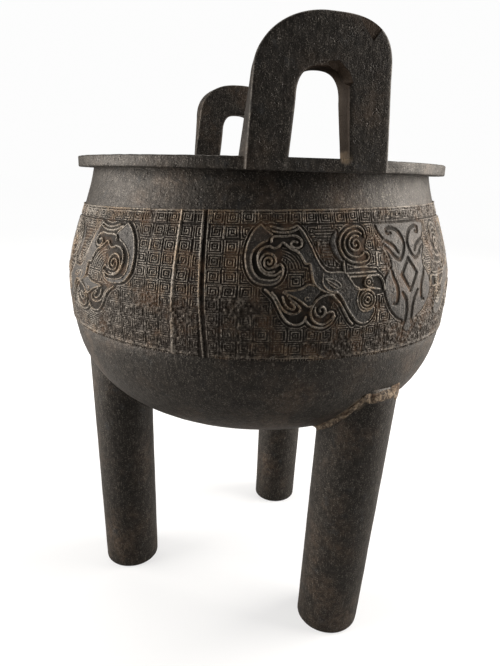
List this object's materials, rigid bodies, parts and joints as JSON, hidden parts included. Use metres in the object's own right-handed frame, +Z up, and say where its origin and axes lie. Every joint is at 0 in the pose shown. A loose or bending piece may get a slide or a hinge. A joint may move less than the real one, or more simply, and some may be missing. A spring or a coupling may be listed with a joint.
{
  "type": "bronze ding vessel",
  "caption": "Round bronze cauldron on three columnar legs, with two upright loop handles on a flat rim and a band of raised masks on a square-spiral ground.",
  "frame": {"origin": "on the bowl's axis, on the plane the three feet stand on", "axes": "+Z up, -Y through the middle of the first loop handle, the second handle facing +Y"},
  "size_m": [0.2709, 0.2712, 0.3887],
  "materials": {
    "bronze": "aged cast bronze, dark brown-black patina with rust-brown dust in the recesses and dull grey wear on the high spots"
  },
  "bodies": {
    "root": {"ding": "bronze"}
  },
  "joints": []
}
